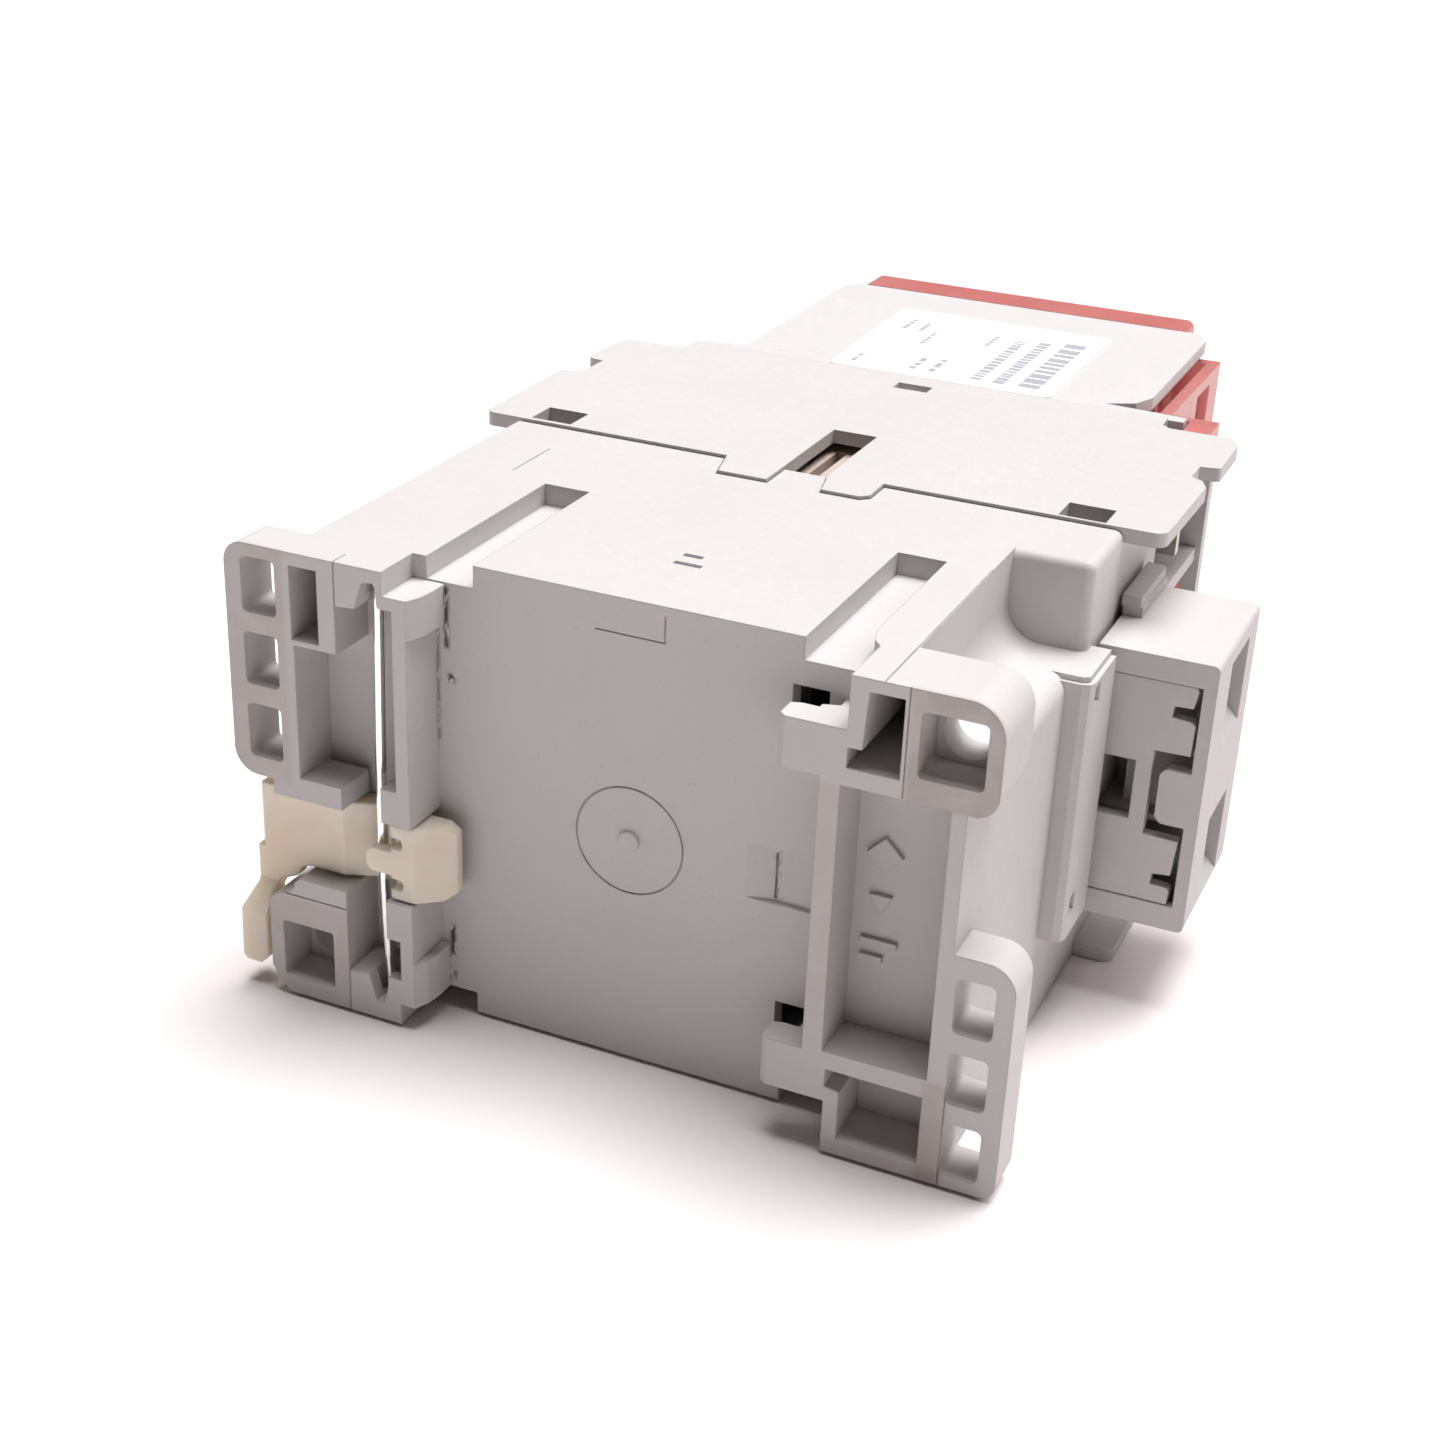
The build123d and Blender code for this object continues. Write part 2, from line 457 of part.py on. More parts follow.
def coil_terminal_block():
    inner = (COIL_X[0] + 0.3, COIL_X[1] - COIL_WALL)
    with BuildPart() as shell:
        block(COIL_X, COIL_Y, COIL_Z)
        fillet(edges_at(shell.part, Axis.Y, x=COIL_X[1] - LENGTH / 2), 0.6)
        fillet(edges_at(shell.part, Axis.X, y=COIL_Y[1]), 0.8)
        block(inner, (COIL_Y[0] - 1, COIL_Y[0] + 2.6), TRAY_Z, Mode.SUBTRACT)
        block((COIL_X[0] + 1.2, inner[1]), (COIL_Y[0] + 2, COIL_Y[0] + 9), (19.2, 26.0), Mode.SUBTRACT)
        for z in COIL_POLES:
            block((COIL_X[0] - 1, inner[1]), (COIL_Y[0] + 1, COIL_Y[1] - 1.4), (z - 3.7, z + 3.7), Mode.SUBTRACT)
            rod_y(COIL_SCREW, z, 2.5, (COIL_Y[1] - 2, COIL_Y[1] + 1), Mode.SUBTRACT)
        block((COIL_X[0] - 1, COIL_X[0] + 1), (COIL_Y[0] - 1, 41.4), TRAY_Z, Mode.SUBTRACT)
        # inner floor in front of the terminals, deep behind the tray
        block((72.0, inner[1] + 0.1), (39.9, 40.7), TRAY_Z)
        # wire entries with a sloping sill
        for low, high in ((11.1, 18.3), (27.3, 34.3)):
            block((COIL_X[1] - 2, COIL_X[1] + 1), (41.3, 48.6), (low, high), Mode.SUBTRACT)
            with BuildSketch(Plane.XZ.offset(-41.3)) as outline:
                with BuildLine():
                    Polyline(at(COIL_X[1] - COIL_WALL, low), at(COIL_X[1] + 0.1, low - 1.6),
                             at(COIL_X[1] + 0.1, low + 0.1), close=True)
                make_face()
            extrude(outline.sketch, amount=-7.3, mode=Mode.SUBTRACT)
        # tongue of the frame that the tray's fingers close around
        plate([(inner[1] + 0.1, 19.75), (76.6, 19.75), (76.0, 20.35), (76.0, 24.7), (76.6, 25.3),
               (inner[1] + 0.1, 25.3)], (COIL_Y[0], COIL_Y[0] + 1.6))
        # release bar along the upper face
        side_plate([(68.85, 43.6), (69.1, 43.2), (70.9, 43.2), (70.9, 52.2), (70.3, 52.8), (68.85, 52.8)],
                   (COIL_Z[1], 37.2))
        side_plate([(68.85, 43.2), (70.7, 43.0), (70.7, 52.2), (70.3, 52.6), (68.85, 52.6)], (37.1, 38.2))
    save(shell, "coil_terminal_block")

    with BuildPart() as tray:
        plate([(69.35, 33.75), (78.3, 33.75), (78.5, 33.4), (78.2, 31.7), (76.45, 31.6), (76.4, 30.5),
               (78.2, 30.35), (78.6, 30.0), (78.5, 27.0), (75.2, 26.9), (75.15, 18.3), (78.5, 18.2),
               (78.2, 14.6), (76.5, 14.4), (76.45, 13.3), (78.1, 13.2), (78.3, 12.9), (78.2, 11.5),
               (69.35, 11.5)], (COIL_Y[0] + 0.1, COIL_Y[0] + 1.3))
        block((70.45, 73.65), (COIL_Y[0] - 1, COIL_Y[0] + 2), (19.5, 25.5), Mode.SUBTRACT)
        # snap arms beside the centre wall
        for z in ((27.2, 33.6), (11.6, 18.0)):
            block((69.4, 74.8), (COIL_Y[0] + 1.2, COIL_Y[0] + 2.4), z)
    save(tray, "coil_terminal_tray")

    with BuildPart() as clamps:
        for z in COIL_POLES:
            block((72.0, 78.4), (47.4, 48.5), (z - 3.0, z + 3.0))
            rod_y(COIL_SCREW, z, 1.6, (46, 50), Mode.SUBTRACT)
    save(clamps, "coil_terminal_clamps")

    with BuildPart() as screws:
        for z in COIL_POLES:
            screw(COIL_SCREW, z, (41.0, 50.9), 2.3, 1.5, 2.2)
    save(screws, "coil_terminal_screws")


# ---------------------------------------------------------------- contact housing
SIDE_OUTLINE = [(2.0, 41.9), (28.9, 41.9), (30.0, TOOTH_Y), (35.0, TOOTH_Y), (35.0, 54.8), (39.6, 54.8),
                (39.6, 41.9), (40.6, TOOTH_Y), (44.4, TOOTH_Y), (45.2, 38.2), (45.2, 41.9), (72.4, 41.9),
                (72.6, 56.8), (71.8, 58.6), (70.6, 59.3), (70.6, 62.7), (72.6, 63.2), (72.5, 71.2),
                (71.4, HOOD), (64.9, HOOD), (64.0, 74.2), (63.9, FRONT), (9.4, FRONT), (9.4, 74.5),
                (8.5, HOOD), (3.1, HOOD), (2.0, 72.1), (2.0, 64.4), (3.9, 64.2), (3.9, 59.6), (1.7, 58.8)]
SIDE_HOLES = (((7.0, 11.4), (42.5, 46.4)), ((62.2, 66.7), (42.3, 46.0)), ((35.0, 38.8), (71.8, 73.8)))
POLE_FLOOR = 50.0
TERMINAL_Y = 56.95          # shelf that carries the outer ends of the contact strips
END_WALL = (5.5, 68.5)
WEB_END = (4.4, 69.6)


def contact_housing():
    inner_z = (PLATE_Z[0] + PLATE_T, PLATE_Z[1] - PLATE_T)
    with BuildPart() as housing:
        block(END_WALL, (JOINT + 0.1, 71.5), inner_z)
        block(WEB_END, (TERMINAL_Y + 1.0, 71.5), inner_z)
        for z in ((PLATE_Z[0], inner_z[0]), (inner_z[1], PLATE_Z[1])):
            side_plate(SIDE_OUTLINE, z)
        for x, y, r in ((2.0, 41.9, 1.0), (72.4, 41.9, 1.2), (72.6, 63.2, 0.5), (72.5, 71.2, 0.8), (2.0, 64.4, 0.8)):
            fillet(edges_at(housing.part, Axis.Z, x=x - LENGTH / 2, y=y), r)
        for z in ((PLATE_Z[0], inner_z[0]), (inner_z[1], PLATE_Z[1])):
            for x, y in SIDE_HOLES:
                block(x, y, grow(z, 1.0), Mode.SUBTRACT)
        # the teeth only cover the base's side faces
        block((28.0, 46.0), (36.0, JOINT), (BASE_Z[0] + 0.9, BASE_Z[1] - 0.9), Mode.SUBTRACT)
        # four pole channels from end to end, open to the front
        for z in POLES:
            block((0, LENGTH), (TERMINAL_Y, 80.0), (z - POLE_W / 2, z + POLE_W / 2), Mode.SUBTRACT)
            block((12.0, 62.0), (POLE_FLOOR, 80.0), (z - POLE_W / 2, z + POLE_W / 2), Mode.SUBTRACT)
            # wells for the tips of the terminal screws
            for x in (LINE_SCREW, LOAD_SCREW):
                rod_y(x, z, 2.2, (54.0, 60.0), Mode.SUBTRACT)
        # guide for the contact carrier, and room for its foot and the armature
        block(CARRIER_X, (40.0, 80.0), inner_z, Mode.SUBTRACT)
        block((18.6, 55.4), (40.0, 46.0), (6.8, 38.2), Mode.SUBTRACT)
        # pockets behind the side holes
        for x, y in SIDE_HOLES[:2]:
            for z in ((PLATE_Z[0] - 1, 7.8), (37.2, PLATE_Z[1] + 1)):
                block(x, y, z, Mode.SUBTRACT)
    save(housing, "contact_housing")


def terminal_cover():
    """Front cover over the arc chambers and terminals, with an access hole over each screw."""
    inner_z = (PLATE_Z[0] + PLATE_T + 0.1, PLATE_Z[1] - PLATE_T - 0.1)
    with BuildPart() as cover:
        block((3.9, 70.1), (71.6, HOOD), inner_z)
        block((9.6, 63.7), (HOOD - 0.1, FRONT), inner_z)
        block(CARRIER_X, (70, 80), (15.2, 29.8), Mode.SUBTRACT)
        for z in POLES:
            for x in (LINE_SCREW, LOAD_SCREW):
                rod_y(x, z, 3.4, (70, 80), Mode.SUBTRACT)
            for x in ((13.5, 30.0), (44.0, 60.5)):
                block(x, (70.0, FRONT - 1.6), (z - 4.0, z + 4.0), Mode.SUBTRACT)
    save(cover, "terminal_cover")


# ---------------------------------------------------------------- main contacts
STRIP_Y = (57.0, 58.2)
TIP_T = 1.2
BRIDGE_X = (25.2, 48.8)
TIP_L = 3.4


def fixed_contacts():
    """Line and load strips with a contact tip on the inner end and a threaded terminal hole."""
    for k, z in enumerate(POLES, start=1):
        for side in ("line", "load"):
            flip = (lambda p: p) if side == "line" else (lambda p: (LENGTH - p[1], LENGTH - p[0]))
            with BuildPart() as strip:
                block(flip((5.8, 29.2)), STRIP_Y, (z - 3.1, z + 3.1))
                block(flip((29.2 - TIP_L, 29.2)), (STRIP_Y[1], STRIP_Y[1] + TIP_T), (z - 2.4, z + 2.4))
                rod_y(flip((LINE_SCREW, LINE_SCREW))[0], z, 1.8, (55, 60), Mode.SUBTRACT)
            save(strip, side + "_contact_%d" % k)


BRIDGE_TIP = STRIP_Y[1] + TIP_T + TOUCH + STROKE - OVERTRAVEL
BRIDGE_Y = (BRIDGE_TIP + 1.0, BRIDGE_TIP + 2.2)
SPRING_TOP = 70.2
CARRIER_TOP = 71.2


def moving_bridges():
    for k, z in enumerate(POLES, start=1):
        with BuildPart() as bridge:
            block(BRIDGE_X, BRIDGE_Y, (z - 2.9, z + 2.9))
            for x in (BRIDGE_X[0], BRIDGE_X[1] - TIP_L):
                block((x, x + TIP_L), (BRIDGE_TIP, BRIDGE_Y[0]), (z - 2.3, z + 2.3))
            # raised seat that keeps the contact spring in place
            rod_y(MID, z, 1.1, (BRIDGE_Y[1], BRIDGE_Y[1] + 0.8))
        save(bridge, "moving_bridge_%d" % k)


def contact_springs():
    with BuildPart() as springs:
        for z in POLES:
            coil_spring(MID, z, (BRIDGE_Y[1] + 0.05, SPRING_TOP - 0.05), 2.0, 0.55, 4)
    save(springs, "contact_springs")


def contact_carrier():
    with BuildPart() as carrier:
        block((24.5, 49.5), (ARM_YOKE[1] + 0.05, 44.4), (7.6, 37.4))
        block((32.0, 42.0), (44.2, CARRIER_TOP), (2.3, 42.7))
        block((32.0, 42.0), (CARRIER_TOP - 0.1, 75.4), (15.8, 29.2))
        # cheeks beside the armature that hold its pin
        for z in ((12.8, 15.3), (29.7, 32.2)):
            block((33.0, 41.0), (ARM_YOKE[0] + 0.4, 46.0), z)
            with Locations((0, (ARM_YOKE[0] + ARM_YOKE[1]) / 2, sum(z) / 2 - WIDTH / 2)):
                Cylinder(1.1, 3, mode=Mode.SUBTRACT)
        # a window for each bridge and its spring
        for z in POLES:
            block((30.0, 44.0), (BRIDGE_Y[0], SPRING_TOP), (z - 3.7, z + 3.7), Mode.SUBTRACT)
            rod_y(MID, z, 1.1, (SPRING_TOP - 0.8, SPRING_TOP))
        # lightening pockets that leave ribs, seen through the centre slots
        for z in ((1.0, 4.6), (40.4, 44.0)):
            for x in ((32.8, 34.4), (35.4, 36.5), (37.5, 38.6), (39.6, 41.2)):
                block(x, (45.6, 55.4), z, Mode.SUBTRACT)
        # groove that the auxiliary carrier's hook drops into
        block((34.5, 39.5), (74.2, 76.0), (18.5, 26.5), Mode.SUBTRACT)
    save(carrier, "contact_carrier")


def return_springs():
    """Two springs between the coil former's front flange and the carrier foot."""
    with BuildPart() as springs:
        for x, z in ((28.4, 10.8), (LENGTH - 28.4, WIDTH - 10.8)):
            coil_spring(x, z, (BOBBIN_Y[1] + 0.05, ARM_YOKE[1]), 2.4, 0.6, 5)
    save(springs, "return_springs")


def main_terminals():
    with BuildPart() as clamps:
        for z in POLES:
            for x in (LINE_SCREW, LOAD_SCREW):
                block((x - 3.6, x + 3.6), (64.6, 65.8), (z - 3.2, z + 3.2))
                rod_y(x, z, 1.95, (60, 70), Mode.SUBTRACT)
    save(clamps, "terminal_clamps")

    with BuildPart() as screws:
        for z in POLES:
            for x in (LINE_SCREW, LOAD_SCREW):
                screw(x, z, (55.2, 68.6), 3.0, 1.75, 2.7)
    save(screws, "terminal_screws")


# ---------------------------------------------------------------- auxiliary block
AUX_WALL = 1.4
AUX_X = (19.4, 54.6)
AUX_SCREW = 3.4
AUX_STRIP = (88.0, 100.0)


def aux_housing():
    z0, z1 = BASE_Z
    outline = [(14.6, 79.2), (14.1, 111.0), (15.6, AUX_Y[1]), (59.0, AUX_Y[1]), (60.3, 109.6), (60.5, 84.0),
               (59.4, 81.0), (56.4, 79.2)]
    with BuildPart() as aux:
        for z in ((z0, z0 + AUX_WALL), (z1 - AUX_WALL, z1)):
            side_plate(outline, z)
            side_plate([(9.8, AUX_Y[0]), (65.5, AUX_Y[0]), (65.5, 78.7), (57.0, 79.3), (14.6, 79.3), (9.8, 78.7)], z)
        block((AUX_X[0], AUX_X[1]), (AUX_Y[0], AUX_Y[1]), (z0 + 0.5, z1 - 0.5))
        # pole channels, open at both ends for the terminals
        for z in POLES:
            block((0, LENGTH), (84.0, 110.8), (z - 4.1, z + 4.1), Mode.SUBTRACT)
            for x in (AUX_X[0] + AUX_SCREW, AUX_X[1] - AUX_SCREW):
                rod_y(x, z, 2.3, (105, 120), Mode.SUBTRACT)
        block(CARRIER_X, (AUX_Y[0] - 1, 111.0), (z0 + AUX_WALL, z1 - AUX_WALL), Mode.SUBTRACT)
        block((34.0, 40.0), (105, 120), (19.0, 26.0), Mode.SUBTRACT)
    save(aux, "aux_housing")


AUX_TIP = 0.9
AUX_NO = AUX_STRIP[0] + 1.0 + AUX_TIP + TOUCH + STROKE
AUX_PLATE = (AUX_NO + AUX_TIP, AUX_NO + AUX_TIP + 0.8)
NC_STRIP = AUX_PLATE[1] + AUX_TIP + TOUCH + AUX_TIP


def aux_contacts():
    """Two normally open and two normally closed contacts, worked by one carrier."""
    with BuildPart() as strips:
        for k, z in enumerate(POLES):
            normally_open = k in (0, 3)
            low = AUX_STRIP[0] if normally_open else NC_STRIP
            for flip in (False, True):
                def span(a, b):
                    return (LENGTH - b, LENGTH - a) if flip else (a, b)
                block(span(22.0, 30.6), (low, low + 1.0), (z - 2.3, z + 2.3))
                tip = (low + 1.0, low + 1.0 + AUX_TIP) if normally_open else (low - AUX_TIP, low)
                block(span(28.0, 30.6), tip, (z - 1.8, z + 1.8))
                block(span(22.0, 23.0), (low, NC_STRIP + 1.0), (z - 2.3, z + 2.3))
                block(span(AUX_X[0] + 0.1, 23.0), (NC_STRIP, NC_STRIP + 1.0), (z - 2.9, z + 2.9))
                x = span(AUX_X[0] + AUX_SCREW, AUX_X[0] + AUX_SCREW)[0]
                rod_y(x, z, 1.45, (NC_STRIP - 1, NC_STRIP + 2), Mode.SUBTRACT)
    save(strips, "aux_fixed_contacts")

    for k, z in enumerate(POLES):
        normally_open = k in (0, 3)
        tip = (AUX_NO, AUX_PLATE[0]) if normally_open else (AUX_PLATE[1], AUX_PLATE[1] + AUX_TIP)
        with BuildPart() as bridge:
            block((27.9, LENGTH - 27.9), AUX_PLATE, (z - 2.1, z + 2.1))
            for x in (27.9, LENGTH - 27.9 - 2.8):
                block((x, x + 2.8), tip, (z - 1.7, z + 1.7))
        save(bridge, "aux_bridge_%d" % (k + 1))

    with BuildPart() as clamps:
        for z in POLES:
            for x in (AUX_X[0] + AUX_SCREW, AUX_X[1] - AUX_SCREW):
                block((x - 2.9, x + 2.9), (105.2, 106.1), (z - 2.9, z + 2.9))
                rod_y(x, z, 1.55, (104, 107), Mode.SUBTRACT)
    save(clamps, "aux_terminal_clamps")

    with BuildPart() as screws:
        for z in POLES:
            for x in (AUX_X[0] + AUX_SCREW, AUX_X[1] - AUX_SCREW):
                screw(x, z, (97.6, 108.4), 2.1, 1.4, 2.0)
    save(screws, "aux_terminal_screws")


def aux_carrier():
    with BuildPart() as carrier:
        block((33.0, 41.0), (82.0, 105.0), (2.4, 42.6))
        # foot with a T-shaped hook that hangs in the main carrier's groove
        block((34.9, 39.1), (74.6, 82.2), (19.2, 25.8))
        # bridge windows, and the indicator flag that shows the switching state
        for z in POLES:
            block((30.0, 44.0), (AUX_PLATE[0], AUX_PLATE[1] + 0.05), (z - 2.2, z + 2.2), Mode.SUBTRACT)
        block((35.0, 39.0), (104.9, 114.0), (20.0, 25.0))
    save(carrier, "aux_carrier")


# ---------------------------------------------------------------- safety cover and label
def safety_cover():
    front = (15.8, 57.0)
    with BuildPart() as cover:
        block(front, COVER_Y, (0.15, 44.85))
        fillet(cover.edges().filter_by(Axis.Y), 1.0)
        chamfer(cover.faces().sort_by(Axis.Y)[-1].edges(), 0.5)
        block((17.2, 55.6), (COVER_Y[0] - 1, COVER_Y[1] - 1.4), (2.0, 43.0), Mode.SUBTRACT)
        # end legs down towards the terminals, open in front of the auxiliary terminals
        for legs, shoulder in (((60.9, 62.2), (55.8, 62.2)), ((12.2, 13.5), (12.2, 17.0))):
            block(legs, (79.8, 110.2), (2.5, 42.5))
            block(shoulder, (108.8, 110.2), (2.5, 42.5))
            for z in POLES:
                block(grow(legs, 1.0), (99.3, 105.4), (z - 3.1, z + 3.1), Mode.SUBTRACT)
        for x in ((15.8, 17.0), (55.8, 57.0)):
            block(x, (109.0, COVER_Y[0] + 0.5), (2.5, 42.5))
        # clip feet over the terminal hood at the coil end
        for z in ((0.8, 3.5), (41.5, 44.2)):
            block((61.0, 68.5), (79.8, 81.0), z)
            block((65.7, 68.5), (74.2, 81.0), z)
        # window over the indicator flag and access holes over the auxiliary screws
        block((34.6, 39.4), (COVER_Y[0], COVER_Y[1] + 1), (19.6, 25.4), Mode.SUBTRACT)
        for z in POLES:
            for x in (AUX_X[0] + AUX_SCREW, AUX_X[1] - AUX_SCREW):
                rod_y(x, z, 2.2, (COVER_Y[0], COVER_Y[1] + 1), Mode.SUBTRACT)
    save(cover, "safety_cover")

    with BuildPart() as label:
        side_plate([(25.4, 77.4), (50.8, 77.4), (50.4, 103.9), (24.6, 103.9)], (BASE_Z[1], BASE_Z[1] + 0.15))
        fillet(label.edges().filter_by(Axis.Z), 1.0)
    save(label, "rating_label")


os.makedirs("parts", exist_ok=True)
base_housing()
rail_latch()
latch_spring()
magnet()
coil()
coil_terminal_block()
contact_housing()
terminal_cover()
fixed_contacts()
moving_bridges()
contact_springs()
contact_carrier()
return_springs()
main_terminals()
aux_housing()
aux_contacts()
aux_carrier()
safety_cover()
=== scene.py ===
import math
import random

import bmesh
import bpy
from mathutils import Matrix, Vector


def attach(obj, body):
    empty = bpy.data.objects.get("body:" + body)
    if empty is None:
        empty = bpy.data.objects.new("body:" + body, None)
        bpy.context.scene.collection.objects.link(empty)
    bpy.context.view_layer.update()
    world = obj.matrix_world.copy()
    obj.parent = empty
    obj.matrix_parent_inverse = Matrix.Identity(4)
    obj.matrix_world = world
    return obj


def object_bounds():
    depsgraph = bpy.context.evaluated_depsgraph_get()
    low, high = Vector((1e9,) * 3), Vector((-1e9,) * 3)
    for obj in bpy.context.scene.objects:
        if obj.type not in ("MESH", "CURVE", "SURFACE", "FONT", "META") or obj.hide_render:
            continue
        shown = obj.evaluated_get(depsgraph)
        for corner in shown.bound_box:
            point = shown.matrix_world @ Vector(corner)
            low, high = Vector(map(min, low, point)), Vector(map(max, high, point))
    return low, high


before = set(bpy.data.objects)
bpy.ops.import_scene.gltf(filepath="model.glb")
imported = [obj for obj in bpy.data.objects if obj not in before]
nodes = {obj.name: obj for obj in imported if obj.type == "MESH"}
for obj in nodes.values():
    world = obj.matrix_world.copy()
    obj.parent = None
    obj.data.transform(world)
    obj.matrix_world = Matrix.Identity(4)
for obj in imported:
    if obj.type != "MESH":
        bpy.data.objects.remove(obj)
cad_low, cad_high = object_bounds()
random.seed(7)

MM = 0.001
DATUM_X, DATUM_Z = 37.0, 22.5       # the drawing datum that part.py measures from
SIDE_TOP = 44.8                     # upper side face of the base
LABEL_TOP = 44.95                   # upper face of the rating label
INK_T = 0.02                        # thickness of printed ink
CAMERA_PLACE = (110.54, -145.91, 114.25)
CAMERA_RIGHT = (0.91026522, 0.41220911, 0.03874119)
CAMERA_UP = (-0.2099735, 0.37897075, 0.9012726)
FOCAL_LENGTH = 54.98                # for a sensor 36 mm wide
FLOOR_SIZE = 12.0                   # metres
FLOOR_GAP = 0.0001                  # keeps the floor just under the lowest face
STUDIO_FILL = 0.09                  # strength of the light from all round


def row(x, y, z):
    """A place written from the drawing datum, in millimetres, as metres in the row frame."""
    return Vector(((x - DATUM_X) * MM, y * MM, (z - DATUM_Z) * MM))


# ------------------------------------------------------------------ camera
def add_camera():
    data = bpy.data.cameras.new("camera")
    data.sensor_width = 36.0
    data.lens = FOCAL_LENGTH
    data.clip_start = 0.01
    data.clip_end = 50.0
    camera = bpy.data.objects.new("camera", data)
    bpy.context.collection.objects.link(camera)
    right = Vector(CAMERA_RIGHT)
    up = Vector(CAMERA_UP)
    back = right.cross(up).normalized()
    place = row(*CAMERA_PLACE)
    camera.matrix_world = Matrix((
        (right.x, up.x, back.x, place.x),
        (right.y, up.y, back.y, place.y),
        (right.z, up.z, back.z, place.z),
        (0, 0, 0, 1)))
    bpy.context.scene.camera = camera


# ------------------------------------------------------------------ shader helpers
class Shader:
    """A short way to write a Principled material's node tree."""

    def __init__(self, name):
        self.mat = bpy.data.materials.new(name)
        self.mat.use_nodes = True
        self.tree = self.mat.node_tree
        self.bsdf = self.tree.nodes["Principled BSDF"]
        self.coords = self.tree.nodes.new("ShaderNodeTexCoord").outputs["Object"]

    def node(self, kind, **sockets):
        n = self.tree.nodes.new("ShaderNode" + kind)
        for key, value in sockets.items():
            self.put(n, key, value)
        return n

    def put(self, n, key, value):
        socket = n.inputs[int(key[1:])] if key[0] == "i" and key[1:].isdigit() else n.inputs[key]
        if hasattr(value, "is_output"):
            self.tree.links.new(value, socket)
        else:
            socket.default_value = value

    def set(self, key, value):
        self.put(self.bsdf, key, value)

    def noise(self, scale, detail=3.0, stretch=None, distortion=0.0):
        source = self.coords
        if stretch:
            m = self.node("Mapping", Vector=source)
            m.inputs["Scale"].default_value = stretch
            source = m.outputs[0]
        n = self.node("TexNoise", Vector=source, Scale=scale, Detail=detail, Distortion=distortion)
        return n.outputs["Fac"]

    def ramp(self, value, *stops):
        """Greys or colours at positions: (position, value) pairs."""
        n = self.node("ValToRGB", Fac=value)
        elements = n.color_ramp.elements
        while len(elements) < len(stops):
            elements.new(0.5)
        for element, (at, colour) in zip(elements, stops):
            element.position = at
            element.color = (*([colour] * 3), 1) if isinstance(colour, float) else (*colour, 1)
        return n.outputs["Color"]

    def mix(self, fac, a, b, blend="MIX"):
        n = self.tree.nodes.new("ShaderNodeMix")
        n.data_type = "RGBA"
        n.blend_type = blend
        for socket, value in ((n.inputs[0], fac), (n.inputs[6], a), (n.inputs[7], b)):
            if hasattr(value, "is_output"):
                self.tree.links.new(value, socket)
            elif isinstance(value, (int, float)):
                socket.default_value = value
            else:
                socket.default_value = (*value, 1)
        return n.outputs[2]

    def math(self, operation, a, b=0.0, clamp=False):
        n = self.node("Math", i0=a, i1=b)
        n.operation = operation
        n.use_clamp = clamp
        return n.outputs[0]

    def axis(self, index):
        return self.node("SeparateXYZ", Vector=self.coords).outputs[index]

    def band(self, value, low, high):
        """1 between low and high, falling to 0 outside over a short soft edge."""
        n = self.node("MapRange", Value=value)
        n.inputs["From Min"].default_value = low
        n.inputs["From Max"].default_value = high
        return n.outputs[0]

    def patch(self, x, y, z, soft=0.6):
        """1 inside a box of datum millimetres, fading out over a soft border."""
        total = None
        for index, span, middle in ((0, x, DATUM_X), (1, y, 0.0), (2, z, DATUM_Z)):
            if span is None:
                continue
            low, high = ((v - middle) * MM for v in span)
            value = self.axis(index)
            rise = self.band(value, low - soft * MM, low + soft * MM)
            fall = self.band(value, high + soft * MM, high - soft * MM)
            both = self.math("MULTIPLY", rise, fall)
            total = both if total is None else self.math("MULTIPLY", total, both)
        return total

    def rounded(self, radius):
        """The surface direction as it would be with softened edges."""
        return self.node("Bevel", Radius=radius).outputs[0]

    def edge(self, radius):
        """0 on flat faces, rising to 1 on sharp outer and inner edges."""
        sharp = self.node("NewGeometry").outputs["Normal"]
        dot = self.node("VectorMath", i0=self.rounded(radius), i1=sharp)
        dot.operation = "DOT_PRODUCT"
        return self.math("MULTIPLY", self.math("SUBTRACT", 1.0, dot.outputs["Value"]), 6.0, True)

    def bump(self, height, strength, distance, normal=None):
        n = self.node("Bump", Height=height, Strength=strength, Distance=distance)
        if normal:
            self.put(n, "Normal", normal)
        return n.outputs[0]


def moulded_plastic(name, colour, wear=0.35, marks=False, rough=0.56, grain=0.30):
    """Matt textured housing plastic: fine spark-eroded grain, soft cloudiness and rubbed edges."""
    s = Shader(name)
    cloud = s.ramp(s.noise(60.0, 4.0), (0.35, 0.0), (0.70, 1.0))
    tint = s.mix(cloud, colour, [c * 0.965 for c in colour])
    speck = s.ramp(s.noise(2600.0, 2.0), (0.28, 0.0), (0.38, 1.0))
    tint = s.mix(speck, [c * 0.93 for c in colour], tint)
    # edges that hands and other parts have rubbed
    rubbed = s.math("MULTIPLY", s.edge(0.00022), s.ramp(s.noise(300.0, 5.0), (0.42, 0.0), (0.66, 1.0)))
    tint = s.mix(s.math("MULTIPLY", rubbed, wear), tint, (0.33, 0.25, 0.22))
    if marks:
        tint = base_stains(s, tint)
    s.set("Base Color", tint)
    s.set("Roughness", s.ramp(s.noise(900.0, 3.0), (0.3, rough - 0.05), (0.7, rough + 0.07)))
    s.set("Specular IOR Level", 0.42)
    soft = s.bump(s.noise(420.0, 2.0), 0.10, 0.00012, s.rounded(0.00018))
    s.set("Normal", s.bump(s.noise(5200.0, 2.0), grain, 0.00003, soft))
    return s.mat


